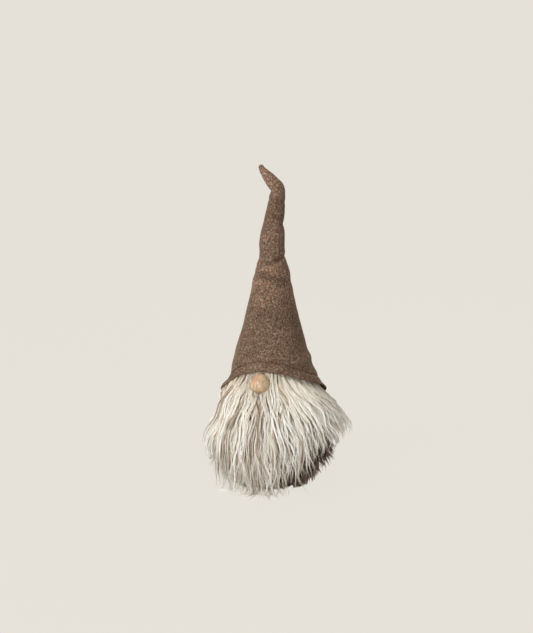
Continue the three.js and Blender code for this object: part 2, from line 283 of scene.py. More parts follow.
def mix(nodes, links, a, b, factor, kind="MIX"):
    node = nodes.new("ShaderNodeMix")
    node.data_type = "RGBA"
    node.blend_type = kind
    for value, socket in ((factor, node.inputs[0]), (a, node.inputs[6]), (b, node.inputs[7])):
        if isinstance(value, (int, float, tuple)):
            socket.default_value = value
        else:
            links.new(value, socket)
    return node.outputs[2]


def felt_material(name, dark, mid, light, warm, toned=False):
    """Heathered wool felt: short fibres of several browns pressed together.

    A toned felt is multiplied by its mesh's own tone attribute: painted highlight on the ridges, painted
    shade in the folds.
    """
    mat, nodes, links, bsdf = new_material(name)
    coords = nodes.new("ShaderNodeTexCoord").outputs["Object"]
    fine = noise(nodes, links, coords, 400, 3, 0.8)
    flecks = ramp(nodes, [(0.32, dark), (0.50, mid), (0.70, light)])
    links.new(fine.outputs["Fac"], flecks.inputs[0])
    other = noise(nodes, links, coords, 330, 3, 0.65)
    red = ramp(nodes, [(0.52, BLACK), (0.70, WHITE)])
    links.new(other.outputs["Fac"], red.inputs[0])
    hue = mix(nodes, links, flecks.outputs[0], warm, red.outputs[0])
    cloudy = noise(nodes, links, coords, 34, 3, 0.55)
    cloud = ramp(nodes, [(0.35, grey(0.84)), (0.68, grey(1.14))])
    links.new(cloudy.outputs["Fac"], cloud.inputs[0])
    mottled = mix(nodes, links, hue, cloud.outputs[0], 1.0, "MULTIPLY")
    if toned:
        # the tone attribute is painted light: painted highlight and painted shade
        tone = nodes.new("ShaderNodeAttribute")
        tone.attribute_name = "tone"
        mottled = mix(nodes, links, mottled, tone.outputs["Color"], 1.0, "MULTIPLY")
    links.new(mottled, bsdf.inputs["Base Color"])
    bump = nodes.new("ShaderNodeBump")
    bump.inputs["Strength"].default_value = 0.55
    bump.inputs["Distance"].default_value = 0.0009
    links.new(fine.outputs["Fac"], bump.inputs["Height"])
    links.new(bump.outputs[0], bsdf.inputs["Normal"])
    bsdf.inputs["Roughness"].default_value = 0.95
    bsdf.inputs["Specular IOR Level"].default_value = 0.12
    bsdf.inputs["Sheen Weight"].default_value = 0.25
    bsdf.inputs["Sheen Roughness"].default_value = 0.5
    bsdf.inputs["Sheen Tint"].default_value = srgb(190, 165, 145)
    return mat


def fur_material(name, root, middle, tip, shades):
    """Fibres that change colour from root to tip, each of one of a few shades.

    The texture coordinate runs along each fibre in v, and its shade is a column in u.
    """
    mat, nodes, links, bsdf = new_material(name)
    uv = nodes.new("ShaderNodeUVMap")
    uv.uv_map = BAKE_UV
    split = nodes.new("ShaderNodeSeparateXYZ")
    links.new(uv.outputs[0], split.inputs[0])
    along = ramp(nodes, [(0.0, root), (0.18, root), (0.42, middle), (0.75, tip)])
    links.new(split.outputs["Y"], along.inputs[0])
    shade = ramp(nodes, shades)
    shade.color_ramp.interpolation = "CONSTANT"
    links.new(split.outputs["X"], shade.inputs[0])
    shaded = mix(nodes, links, along.outputs[0], shade.outputs[0], 1.0, "MULTIPLY")
    links.new(shaded, bsdf.inputs["Base Color"])
    bsdf.inputs["Roughness"].default_value = 0.62
    bsdf.inputs["Specular IOR Level"].default_value = 0.3
    return mat


def plain_material(name, color, other, scale, roughness, metallic=0.0):
    """A quiet two-tone surface for the pieces inside."""
    mat, nodes, links, bsdf = new_material(name)
    coords = nodes.new("ShaderNodeTexCoord").outputs["Object"]
    grain = noise(nodes, links, coords, scale, 3, 0.6)
    tone = ramp(nodes, [(0.35, color), (0.65, other)])
    links.new(grain.outputs["Fac"], tone.inputs[0])
    links.new(tone.outputs[0], bsdf.inputs["Base Color"])
    bsdf.inputs["Roughness"].default_value = roughness
    bsdf.inputs["Metallic"].default_value = metallic
    return mat


BLUSH_AT = (-0.011, -0.008, 0.010)  # from the nose's middle, in metres


def wood_material(centre):
    """Pale varnished beech with growth rings across the egg and a faint blush near its top."""
    mat, nodes, links, bsdf = new_material("nose_wood")
    coords = nodes.new("ShaderNodeTexCoord").outputs["Object"]
    place = nodes.new("ShaderNodeMapping")
    place.inputs["Location"].default_value = [-c for c in centre]
    links.new(coords, place.inputs["Vector"])
    stretch = nodes.new("ShaderNodeMapping")
    stretch.inputs["Scale"].default_value = (1.0, 0.35, 0.16)
    stretch.inputs["Rotation"].default_value = (0.3, 0.1, 0.2)
    links.new(place.outputs[0], stretch.inputs["Vector"])
    rings = noise(nodes, links, stretch.outputs[0], 420, 4, 0.62)
    dark, mid, light = srgb(128, 103, 75), srgb(168, 146, 117), srgb(184, 163, 134)
    grain = ramp(nodes, [(0.32, dark), (0.5, mid), (0.68, light)])
    links.new(rings.outputs["Fac"], grain.inputs[0])
    pores = noise(nodes, links, stretch.outputs[0], 2200, 2, 0.5)
    specks = ramp(nodes, [(0.60, WHITE), (0.74, (0.80, 0.74, 0.68, 1))])
    links.new(pores.outputs["Fac"], specks.inputs[0])
    base = mix(nodes, links, grain.outputs[0], specks.outputs[0], 0.5, "MULTIPLY")
    away = nodes.new("ShaderNodeVectorMath")
    away.operation = "DISTANCE"
    away.inputs[1].default_value = BLUSH_AT
    links.new(place.outputs[0], away.inputs[0])
    blush = ramp(nodes, [(0.003, WHITE), (0.014, BLACK)])
    links.new(away.outputs["Value"], blush.inputs[0])
    pink = nodes.new("ShaderNodeMath")
    pink.operation = "MULTIPLY"
    pink.inputs[1].default_value = 0.75
    links.new(blush.outputs[0], pink.inputs[0])
    rosy = mix(nodes, links, base, srgb(178, 114, 86), pink.outputs[0])
    links.new(rosy, bsdf.inputs["Base Color"])
    bsdf.inputs["Roughness"].default_value = 0.38
    bsdf.inputs["Coat Weight"].default_value = 0.3
    bsdf.inputs["Coat Roughness"].default_value = 0.3
    return mat


FELT = felt_material(
    "hat_felt", srgb(40, 30, 24), srgb(86, 69, 57), srgb(142, 124, 109), srgb(98, 66, 49), toned=True)
BASE_FELT = felt_material(
    "base_felt", srgb(60, 44, 36), srgb(88, 68, 56), srgb(128, 106, 90), srgb(92, 62, 48))
# Cream, tan and brown wisps, from the left of the texture coordinates to the right.
BEARD_SHADES = [(0.0, WHITE), (0.25, (0.93, 0.91, 0.88, 1)), (0.42, (0.82, 0.77, 0.70, 1)),
                (0.58, (0.64, 0.54, 0.45, 1)), (0.76, (0.46, 0.36, 0.28, 1)), (0.90, (0.30, 0.22, 0.16, 1))]
BODY_SHADES = [(0.0, WHITE), (0.4, (0.86, 0.84, 0.82, 1)), (0.75, (1.1, 1.06, 1.0, 1)),
               (0.92, (0.65, 0.6, 0.58, 1))]
BEARD_FUR = fur_material(
    "beard_fur", srgb(156, 130, 106), srgb(226, 220, 208), srgb(250, 249, 245), BEARD_SHADES)
BODY_FUR = fur_material(
    "body_fur", srgb(50, 40, 33), srgb(80, 66, 55), srgb(128, 110, 96), BODY_SHADES)
CLOTH = plain_material("backing_cloth", srgb(86, 68, 55), srgb(104, 84, 70), 900, 0.95)
CORD = plain_material("cord", srgb(80, 64, 52), srgb(104, 86, 70), 1500, 0.85)
STUFFING = plain_material("stuffing", srgb(226, 224, 218), srgb(240, 239, 235), 300, 1.0)
COTTON = plain_material("cotton", srgb(198, 188, 168), srgb(212, 204, 186), 1200, 0.9)
SAND = plain_material("sand", srgb(168, 145, 108), srgb(204, 180, 140), 2500, 1.0)
BOARD = plain_material("board", srgb(160, 134, 100), srgb(182, 156, 120), 500, 0.85)
WIRE = plain_material("wire", srgb(150, 152, 154), srgb(172, 174, 176), 800, 0.4, 1.0)
PLASTIC = plain_material("plastic", srgb(222, 218, 208), srgb(232, 229, 220), 200, 0.5)

INSIDE_PIECES = {
    "base_board": BOARD,
    "ballast_bag": COTTON,
    "ballast_sand": SAND,
    "ballast_tie": CORD,
    "neck_drawcord": CORD,
    "body_sack": CLOTH,
    "body_stuffing": STUFFING,
    "beard_cloth": CLOTH,
    "nose_stem": PLASTIC,
    "nose_washer": PLASTIC,
    "hat_stuffing_cone": STUFFING,
    "hat_stuffing_lower": STUFFING,
    "hat_stuffing_upper": STUFFING,
    "hat_stuffing_tip": STUFFING,
    "hat_wire_foot": WIRE,
    "hat_wire_lower": WIRE,
    "hat_wire_upper": WIRE,
    "hat_wire_tip": WIRE,
}
for node, material in INSIDE_PIECES.items():
    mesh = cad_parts[node].data
    mesh.materials.clear()
    mesh.materials.append(material)

# ------------------------------------------------------------------ hat

AROUND = 180
ANGLES = np.linspace(0, 2 * math.pi, AROUND, endpoint=False)
# The felt is one sewn hat. Its looks are in three pieces that join at these heights: the cone, the slender
# end and the curled tip.
SPLIT_LOW = 347.0
SPLIT_HIGH = 402.0
FOLD_FACING = math.radians(15)  # the azimuth that the folds across the front face

SAG_AZIMUTH = [-140, -100, -75, -40, 0, 50, 78, 105, 140]
SAG = [0, -5, -6.5, 0, 0.3, -5, -4.5, 3.5, 0]  # how the soft brim leaves its plane, by azimuth


def brim_height(angle):
    """The brim's height at an azimuth: where the hat's side meets the tilted plane of the brim."""
    z = np.full_like(angle, BRIM_Z)
    for _ in range(30):
        z = 0.5 * z + 0.5 * (BRIM_Z + radius(HAT_FINE, z) * np.cos(angle - BRIM_TURN) * math.tan(BRIM_TILT))
    return z + np.interp(np.degrees(angle), SAG_AZIMUTH, SAG, period=360)


def facing_to(degrees, angle):
    """How close a point round the hat is to an azimuth, from 1 facing it to -1 behind."""
    return np.cos(angle - math.radians(degrees))


def hat_shape(angle, z):
    """The felt's outer radius in millimetres, with the folds that stuffing leaves in it."""
    left = np.maximum(facing_to(105, angle), 0)
    right = np.maximum(facing_to(-75, angle), 0)
    facing = 0.25 + 0.75 * np.maximum(facing_to(5, angle), 0)
    front = 0.3 + 0.7 * np.maximum(facing_to(15, angle), 0)
    tilt = z + 6 * np.sin(angle - FOLD_FACING)
    seam = z - 321 - 7.5 * np.sin(angle - FOLD_FACING)
    r = radius(HAT_FINE, z)
    # the felt rolls out on the gnome's left and hangs flatter on its right
    r = r + 2.6 * left * bump_at(z, 184, 7) + 3.0 * left * bump_at(z, 158, 11)
    r = r - 2.6 * right * bump_at(z, 157, 10)
    r = r + 1.2 * right * bump_at(z, 195, 16) - 4.5 * right**2 * (1 - smoothstep(z, 126, 150))
    # the dent across the neck, with a roll below and above it
    r = r - 3.2 * facing * bump_at(tilt, 299, 6.0) + 1.3 * facing * bump_at(tilt, 288, 7.0)
    r = r + 1.1 * facing * bump_at(tilt, 310, 5.5)
    # the sharp crease where the slender end starts
    r = r - 2.4 * front * bump_at(seam, 0, 2.0) + 1.3 * front * bump_at(seam, -5.5, 3.6)
    r = r + 0.5 * bump_at(seam, 6, 4.0)
    # the slender end's own kinks
    r = r - 1.5 * left**2 * bump_at(z, 374, 5) + 0.8 * left * bump_at(z, 362, 8)
    r = r + 0.9 * right * bump_at(z, 356, 12)
    # a faint ripple under the neck
    r = r - 0.7 * bump_at(z, 283 + 4 * np.sin(2 * angle), 6) * facing
    return r


def hem_shape(angle, up):
    """How far the turned hem stands out, by the distance above the brim's edge. Its left corner flares."""
    band = 1.6 * (1 - smoothstep(up, 8.8, 11.0))
    groove = -1.6 * bump_at(up, 11.6, 1.1)
    corner = np.maximum(facing_to(105, angle), 0) ** 6
    flare = 2.6 * corner * (1 - smoothstep(up, -2, 12))
    edge = -0.6 * (1 - smoothstep(up, -0.2, 0.6))
    return band + groove + flare + edge


def undulate(co, amount, size, seed):
    """Moves points in and out of the hat's axis by smooth noise."""
    n = lattice_noise(co, size, seed) * amount + lattice_noise(co, size * 0.42, seed + 5) * amount * 0.4
    flat = co * np.array([1, 1, 0])
    length = np.linalg.norm(flat, axis=1, keepdims=True) + 1e-6
    return co + flat / length * n[:, None]


# How far up the inside of the hem a row lies, and how far in from the felt's outside.
HEM_INSIDE = ((14, 3.0), (9, 4.0), (4, 3.0), (1.2, 2.2), (0.2, 1.4), (-0.1, 0.5))
HEM_FINE = 14.0  # up to here the rows are close together
FOLLOWS_BRIM = 40.0  # up to here the rows run along the brim, and above they level out
LEVEL_Z = 236.0


def cone_rows():
    """Rows of vertices from inside the brim, round its edge and up to the middle of the lower stem."""
    brim = brim_height(ANGLES)
    slant = math.cos(BRIM_TILT)
    rows = []
    for up, inset in HEM_INSIDE:
        z = brim + up
        rows.append(ring_points(ANGLES, hat_shape(ANGLES, z) + hem_shape(ANGLES, up) - inset, z))
    rise = np.concatenate([np.arange(0.4, HEM_FINE, 0.9), np.linspace(HEM_FINE, FOLLOWS_BRIM, 16)[1:]])
    for up in rise:
        z = brim + up / slant
        rows.append(ring_points(ANGLES, hat_shape(ANGLES, z) + hem_shape(ANGLES, up), z))
    start = brim + FOLLOWS_BRIM / slant
    for t in np.linspace(0, 1, 34)[1:]:
        z = start + (LEVEL_Z - start) * t
        rows.append(ring_points(ANGLES, hat_shape(ANGLES, z), z))
    level = np.arange(LEVEL_Z + 2, SPLIT_LOW + 0.01, 1.53)
    level[-1] = SPLIT_LOW
    for height in level:
        z = np.full_like(ANGLES, height)
        rows.append(ring_points(ANGLES, hat_shape(ANGLES, z), z))
    return np.array(rows)


ELBOW_SPAN = 8.0  # half the height over which the felt turns at the elbow
ELBOW_FOLD = math.radians(-41)
CURL_BACK = math.radians(22)


def tip_angle(along):
    """How far the curled end is turned, by the distance along it: over to -X, then a little back up."""
    return ELBOW_FOLD * smoothstep(along, 0, 2 * ELBOW_SPAN) + CURL_BACK * smoothstep(along, 34, 50)


def bend_stem(co):
    """Leans the slender end to +X and folds the tip over at the elbow."""
    out = co.copy()
    z = co[:, 2]
    out[:, 0] = co[:, 0] + lean(np.minimum(z, ELBOW_Z))
    over = np.clip(z - (ELBOW_Z - ELBOW_SPAN), 0, None)
    angle = tip_angle(over)
    # the centreline, integrated along the bend
    path = np.linspace(0, 60, 601)
    a = tip_angle(path)
    step = path[1] - path[0]
    cx = np.concatenate([[0], np.cumsum(np.sin(a[:-1]) * step)])
    cz = np.concatenate([[0], np.cumsum(np.cos(a[:-1]) * step)])
    px = np.interp(over, path, cx)
    pz = np.interp(over, path, cz)
    bent = over > 0
    x = co[:, 0]
    out[bent, 0] = (lean(ELBOW_Z) + px + x * np.cos(angle))[bent]
    out[bent, 2] = (ELBOW_Z - ELBOW_SPAN + pz - x * np.sin(angle))[bent]
    return out


TIP_ALONG = [0, 6, 14, 21, 30, 37, 41, 44, 45.9, 46.8, TIP_LENGTH]
TIP_RADII = [11.0, 10.3, 9.3, 8.3, 6.8, 5.3, 4.5, 3.9, 2.8, 1.5, 0.02]


def stem_radius(angle, z):
    """The outer radius above the cone, running on along the curled tip to its rounded end."""
    stem = hat_shape(angle, np.minimum(z, STEM_TOP_Z))
    r = np.where(z > STEM_TOP_Z, np.interp(z - STEM_TOP_Z, TIP_ALONG, TIP_RADII), stem)
    inner = np.maximum(facing_to(-90, angle), 0)
    outer = np.maximum(facing_to(90, angle), 0)
    pinch = 2.3 * inner**2 * bump_at(z, 423, 6.5)
    knuckle = 0.8 * outer * bump_at(z, 426, 6)
    crease = 0.6 * bump_at(z + 2 * np.sin(angle), 407, 3)
    return r - pinch + knuckle - crease


def stem_rows(low, high, step):
    """Rows of vertices between two heights of the slender end and its tip, before they are bent."""
    rows = []
    count = max(int(round((high - low) / step)), 2)
    for height in np.linspace(low, high, count + 1):
        z = np.full_like(ANGLES, height)
        rows.append(ring_points(ANGLES, stem_radius(ANGLES, z), z))
    return np.array(rows)


# Painted light on the felt by height: a painted highlight at the neck and along the tip.
PAINTED_LIGHT_HEIGHTS = [250, 274, 302, 328, 405, 426, 470]
PAINTED_LIGHT_LEVELS = [0.96, 1.26, 1.46, 1.10, 1.06, 1.36, 1.42]


def plain_radius(z):
    """The felt's radius before any folds."""
    return np.where(z > STEM_TOP_Z, stem_radius(np.full_like(z, math.pi), z), radius(HAT_FINE, z))


def hat_piece(name, rows):
    """A stretch of the felt, bent to shape, with a tone for each vertex: painted shade in its folds,
    painted highlight on its ridges.
    """
    count = len(rows)
    co = bend_stem(undulate(rows.reshape(-1, 3), 0.6, 21, 3))
    # a seam of texture coordinates at the back, where the first and last columns meet
    order = np.roll(np.arange(AROUND), AROUND // 2)
    u = np.empty(AROUND)
    u[order] = np.linspace(0.005, 0.995, AROUND)
    uv = np.stack([np.tile(u, count), np.repeat(np.linspace(0.01, 0.99, count), AROUND)], -1)
    obj = make_mesh(name, co, [grid_faces(count, AROUND)], uv)
    z = rows[..., 2].ravel()
    relief = np.hypot(rows[..., 0], rows[..., 1]).ravel() - plain_radius(z)
    # painted shade where the felt lies in from its plain shape, as in the folds and inside the hem, and
    # painted highlight where it stands out
    folds = np.clip(1 + np.where(relief < 0, 0.15, 0.09) * relief, 0.55, 1.18)
    tone = np.interp(z, PAINTED_LIGHT_HEIGHTS, PAINTED_LIGHT_LEVELS) * folds
    layer = obj.data.color_attributes.new(name="tone", type="FLOAT_COLOR", domain="POINT")
    layer.data.foreach_set("color", np.repeat(tone[:, None], 4, axis=1).astype(np.float32).ravel())
    return obj


felt_cone = hat_piece("hat_cone_felt", cone_rows())
felt_cone.data.materials.append(FELT)
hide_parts("hat_cone", "hat_hem", "hat_crease_lower", "hat_stem_lower")
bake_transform(felt_cone)

felt_stem = hat_piece("hat_stem_felt", stem_rows(SPLIT_LOW, SPLIT_HIGH, 1.2))
felt_stem.data.materials.append(FELT)
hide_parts("hat_crease_middle", "hat_stem_upper")
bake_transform(felt_stem)

felt_tip = hat_piece("hat_tip_felt", stem_rows(SPLIT_HIGH, STEM_TOP_Z + TIP_LENGTH, 1.0))
felt_tip.data.materials.append(FELT)
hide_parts("hat_crease_upper", "hat_tip")
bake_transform(felt_tip)

# ------------------------------------------------------------------ nose

SEAT_Z = 149.5  # where the nose sits on the sack
NOSE_R = 15.0
NOSE_HALF_LENGTH = 15.2
NOSE_OUT = 17.1  # from the sack to the nose's middle
NOSE_TAPER = 0.27
NOSE_ROWS = 49
NOSE_COLUMNS = 72

seat = float(radius(SACK_FINE, SEAT_Z))
slope = math.atan2(float(radius(SACK_FINE, SEAT_Z - 5) - radius(SACK_FINE, SEAT_Z + 5)), 10)
lean_back = np.array(Matrix.Rotation(-slope, 3, "X"))
seat_point = np.array([0, -seat, SEAT_Z])

egg = []
for turned in np.linspace(0, math.pi, NOSE_ROWS):
    # the taper widens the low end, so the last divisor keeps the widest ring at NOSE_R
    r = NOSE_R * math.sin(turned) * (1 + NOSE_TAPER * math.cos(turned)) / 1.035
    egg.append((max(r, 0.01), -NOSE_HALF_LENGTH * math.cos(turned)))
co = turned_rows(egg, NOSE_COLUMNS)
co[:, 1] -= NOSE_OUT
co = co @ lean_back.T + seat_point
uv = np.stack([np.tile(np.linspace(0, 1, NOSE_COLUMNS), NOSE_ROWS),
               np.repeat(np.linspace(0, 1, NOSE_ROWS), NOSE_COLUMNS)], -1)
nose = make_mesh("wooden_nose", co, [grid_faces(NOSE_ROWS, NOSE_COLUMNS)], uv)
nose_centre = (np.array([0, -NOSE_OUT, 0]) @ lean_back.T + seat_point) * MM
finish_piece(nose, wood_material(nose_centre), "body")
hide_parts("nose")

NOSE_AT = nose_centre / MM
NOSE_OUTWARD = np.array([0, -math.cos(slope), math.sin(slope)])
NOSE_CLEAR = 16.3  # hair keeps this far from the nose's axis

# ------------------------------------------------------------------ base

BASE_R = 44.0
BASE_THICK = 2.5
BASE_COLUMNS = 96
corners = [(0.01, 0.0), (BASE_R - 2, 0.0), (BASE_R - 0.5, 0.35), (BASE_R, 1.2), (BASE_R - 0.5, 2.1),
           (BASE_R - 1.8, BASE_THICK), (0.01, BASE_THICK)]
disc_outline = []
for (r0, z0), (r1, z1) in zip(corners[:-1], corners[1:]):
    for t in np.linspace(0, 1, 6, endpoint=False):
        disc_outline.append((r0 + (r1 - r0) * t, z0 + (z1 - z0) * t))
disc_outline.append(corners[-1])
base = make_mesh("base_disc", turned_rows(disc_outline, BASE_COLUMNS),
                 [grid_faces(len(disc_outline), BASE_COLUMNS)])
finish_piece(base, BASE_FELT, "body")
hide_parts("base_felt")

# ------------------------------------------------------------------ beard

# The beard's outline radius at its two sides, by height. The front follows the BEARD outline.
SIDE_HEIGHTS = [0, 10, 30, 50, 67, 84, 93, 102, 111, 119, 137, 146, 164]
RIGHT_SIDE = [70, 75, 80, 86, 95, 91, 85, 79, 74, 70, 67, 65, 58]
LEFT_SIDE = [62, 68, 84, 94, 111, 115, 111, 107, 101, 94, 79, 75, 60]


def beard_outer(z, a):
    """The beard's outline radius at a height and azimuth in degrees. It flares more on the gnome's left."""
    front = radius(BEARD_FINE, z)
    left = np.interp(z, SIDE_HEIGHTS, LEFT_SIDE)
    right = np.interp(z, SIDE_HEIGHTS, RIGHT_SIDE)
    side = np.where(a > 0, left, right)
    # on the gnome's right the side's outline starts nearer the front, near the floor and at the shoulder
    early = np.where(a < 0, 1 - smoothstep(z, 40, 62) + smoothstep(z, 78, 98), 0)
    w = smoothstep(np.abs(a), 35 - 15 * early, 78 - 18 * early)
    return front * (1 - w) + side * w


def beard_inner(z):
    """The radius at which the beard lies on the body."""
    return radius(SACK_FINE, z) + 6 + 5 * (1 - smoothstep(z, 60, 110))


# How high the locks end, by azimuth. Below the floor means that they spread out on it.
TIP_AZIMUTH = [-110, -85, -70, -60, -52, -45, -37, -30, 0, 20, 30, 38, 46, 54, 62, 70, 85, 110]
TIP_HEIGHT = [72, 66, 58, 50, 34, 15, -12, -34, -40, -10, 9, 20, 28, 38, 62, 72, 74, 72]


def under_brim(z, a):
    """The largest radius that hair may have at a height: inside the hem, and spreading below its edge."""
    edge = brim_height(np.radians(a))
    inside = radius(HAT_FINE, np.maximum(z, edge)) - 3.0
    side = smoothstep(np.abs(a), np.where(a > 0, 50, 28), np.where(a > 0, 72, 54))
    slope = 1.15 - np.where(a > 0, 0.25, 0.55) * side
    return inside + np.clip(edge - 1.2 + side - z, 0, None) * slope


GUIDE_STEPS = 44
LOOK_AHEAD = 11.0  # a lock steers towards where it should be this far below it


def beard_guides(a0, z0, rho0, layer, length, sweep):
    """Walks each lock's middle line down the beard: (n, steps) of radius, height and azimuth in degrees."""
    ds = length / GUIDE_STEPS
    rho, z, a = rho0, z0, a0
    # psi is how far out of the vertical a lock points, which is least under the hem
    psi = np.radians(np.where(rho0 > radius(SACK_FINE, z0) + 4, 22.0, 55.0))
    rhos, zs, azs = [rho], [z], [a]
    for k in range(GUIDE_STEPS):
        ahead = np.clip(z - LOOK_AHEAD, 1.5, 170)
        outer = beard_outer(ahead, a)
        inner = beard_inner(ahead)
        goal = inner + layer * (outer - inner)
        want = np.arctan2(goal - rho, LOOK_AHEAD)
        want = np.clip(want, math.radians(-16), math.radians(72))
        on_floor = 1 - smoothstep(z, 1.5, 7.0)
        want = want * (1 - on_floor) + math.radians(88) * on_floor
        psi = psi + (want - psi) * 0.34
        rho = np.minimum(rho + np.sin(psi) * ds, under_brim(z, a))
        z = z - np.cos(psi) * ds * np.clip((z - 0.8) / 4, 0, 1)
        fading = min(1.0, k / 6) * (1 - 0.5 * k / GUIDE_STEPS)
        a = a + np.degrees(sweep * ds * fading / np.maximum(rho, 45))
        rhos.append(rho)
        zs.append(z)
        azs.append(a)
    return np.array(rhos).T, np.array(zs).T, np.array(azs).T


def resample(values, t, row):
    """Rows of values (n, k) read at fractions t (m, s) of their length, one row for each fibre."""
    last = values.shape[1] - 1
    x = np.clip(t * last, 0, last - 1e-6)
    i = x.astype(int)
    f = x - i
    return values[row[:, None], i] * (1 - f) + values[row[:, None], i + 1] * f


# Layers of the beard, from the cloth outwards: number of locks, wisps in each, fibres in each wisp, whether
# they are rooted under the hem, how far out they lie, their lengths, and the shares of cream and tan wisps.
LAYERS = [
    (200, 4, 6, False, (0.12, 0.50), (120, 178), 0.34, 0.42),
    (120, 4, 12, False, (0.45, 0.84), (140, 195), 0.66, 0.22),
    (76, 4, 15, True, (0.62, 0.92), (165, 215), 0.76, 0.14),
    (76, 4, 17, True, (0.84, 1.08), (175, 225), 0.82, 0.10),
]
BEARD_FROM = -99  # the beard's azimuths, in degrees
BEARD_TO = 105
BEARD_STATIONS = 11  # points along each fibre
BEARD_REACH = 118  # the furthest that hair lies from the axis
UNDER_HEM_FIRST = 0.34  # hair from under the hem shows no dark roots


def lock_roots(count, under_hem):
    """Where the locks of a layer grow from: azimuths in degrees, heights and radii."""
    a0 = BEARD_FROM + (BEARD_TO - BEARD_FROM) * (np.arange(count) + rng.random(count)) / count
    rng.shuffle(a0)
    edge = brim_height(np.radians(a0))
    if under_hem:
        z0 = edge - 3 + rng.uniform(0, 6, count)
        deepest = 10 - 4 * smoothstep(np.abs(a0), 50, 80)
        rho0 = radius(HAT_FINE, np.maximum(z0, edge + 1)) - rng.uniform(4, deepest, count)
    else:
        z0 = rng.uniform(82, np.minimum(edge - 6, 162), count)
        rho0 = radius(SACK_FINE, z0) + 2.5
    return a0, z0, rho0


def lock_reach(rho, z, a):
    """The share of each lock's length that it keeps: locks end at the hanging line of their azimuth."""
    count, steps = z.shape
    near_end = a[:, -8]
    tip_z = np.interp(near_end, TIP_AZIMUTH, TIP_HEIGHT) + rng.normal(0, 7, count)
    furthest = BEARD_REACH - 12 * smoothstep(np.abs(a), 10, 35) * (z < 5)
    below = (z < tip_z[:, None]) | (rho > furthest)
    hit = below.any(axis=1)
    reach = np.ones(count)
    reach[hit] = np.clip(below[hit].argmax(axis=1) / (steps - 1), 0.3, 1)
    return reach


def beard_layer(count, wisps, per_wisp, under_hem, depth, lengths, cream, tan):
    """One layer of fibres. Each lock splits into a few wisps, and each wisp is a tight bundle of fibres."""
    a0, z0, rho0 = lock_roots(count, under_hem)
    layer = rng.uniform(depth[0], depth[1], count)
    length = rng.uniform(lengths[0], lengths[1], count)
    sweep = 0.50 * np.tanh(a0 / 38) * (1 if under_hem else 0.6) + rng.normal(0, 0.12, count)
    rho, z, a = beard_guides(a0, z0, rho0, layer, length, sweep)
    reach = lock_reach(rho, z, a)

    wisp = np.repeat(np.arange(count), wisps)
    m = len(wisp)
    lock_width = rng.uniform(3.6, 6.0, count)[wisp]
    wisp_side = (np.tile(np.linspace(-1, 1, wisps), count) + rng.normal(0, 0.18, m)) * lock_width
    wisp_out = rng.uniform(-1, 1, m) * lock_width * 0.5
    wisp_reach = rng.uniform(0.74, 1.0, m)
    wisp_wave = rng.uniform(0.4, 1.7, m)
    wisp_phase = rng.uniform(0, 2 * math.pi, m)
    wisp_drift = rng.normal(0, 0.05, m)
    kind = rng.random(m)
    pale = cream + (0.9 - cream) * 0.6 * smoothstep(np.abs(a0), 55, 80)[wisp]
    wisp_tone = np.where(kind < pale, rng.uniform(0, 26, m),
                         np.where(kind < pale + tan, rng.uniform(27, 46, m), rng.uniform(46, 60, m)))

    fibre = np.repeat(np.arange(m), per_wisp)
    lock = wisp[fibre]
    n = len(fibre)
    own = np.linspace(0, 1, BEARD_STATIONS)[None, :]
    t = np.minimum(own * (reach[lock] * wisp_reach[fibre] * rng.uniform(0.84, 1.02, n))[:, None], 1)
    rr = resample(rho, t, lock)
    zz = resample(z, t, lock)
    aa = resample(a, t, lock)
    arc = t * length[lock][:, None]
    grow = smoothstep(arc, 8, 50)

    # a wisp's fibres run together towards its tip, and a few of them stray
    stray = np.where(rng.random(n) < 0.05, rng.uniform(2.0, 5.0, n), 1.0)[:, None]
    closing = 1.1 - 0.25 * own - 0.7 * own**2
    spread = rng.uniform(1.0, 2.0, m)[fibre][:, None] * closing * (1 + (stray - 1) * own)
    disc = np.sqrt(rng.random(n))[:, None]
    turn = rng.uniform(0, 2 * math.pi, n)[:, None]
    gather = 1.1 - 0.55 * own
    lateral = wisp_side[fibre][:, None] * gather + disc * np.cos(turn) * spread
    radial = wisp_out[fibre][:, None] * gather + disc * np.sin(turn) * spread * 0.8

    # locks wave, their wisps wave a little on their own, and fibres waver
    wave_len = rng.uniform(52, 96, count)[lock][:, None]
    wave_amp = rng.uniform(1.2, 5.2, count)[lock][:, None]
    phase = rng.uniform(0, 2 * math.pi, count)[lock][:, None]
    lateral = lateral + grow * wave_amp * np.sin(2 * math.pi * arc / wave_len + phase)
    radial = radial + grow * 0.5 * wave_amp * np.cos(2 * math.pi * arc / (wave_len * 1.15) + phase)
    wisp_turn = 2 * math.pi * arc / 37 + wisp_phase[fibre][:, None]
    lateral = lateral + grow * wisp_wave[fibre][:, None] * np.sin(wisp_turn)
    lateral = lateral + wisp_drift[fibre][:, None] * arc * grow
    small = rng.uniform(0, 2 * math.pi, n)[:, None]
    lateral = lateral + 0.2 * np.sin(2 * math.pi * arc / 15 + small) * grow

    # no hair goes into the body, through the hat or into the floor
    rr = np.maximum(rr + radial, sack_radius(zz) + 1.5)
    rr = np.minimum(rr, under_brim(zz.ravel(), aa.ravel()).reshape(rr.shape) + 0.6 + 2.4 * disc * own)
    zz = np.maximum(zz + 0.25 * radial, rng.uniform(0.5, 2.6, n)[:, None])
    angle = np.radians(aa) + lateral / np.maximum(rr, 40)
    points, pushed = keep_off_nose(ring_points(angle, rr, zz))
    thick = rng.uniform(0.18, 0.34, n)
    # painted shade round the nose: some of the fibres that the nose parts take a darker shade
    shade = wisp_tone[fibre] + np.where(pushed > 6, 20 * (rng.random(n) < 0.3), 0)
    column = np.clip(shade + rng.normal(0, 5, n), 0, SHADE_COLUMNS - 1).astype(int)
    first = np.full(n, UNDER_HEM_FIRST if under_hem else 0.0)
    return points, thick, column, a0[lock], first


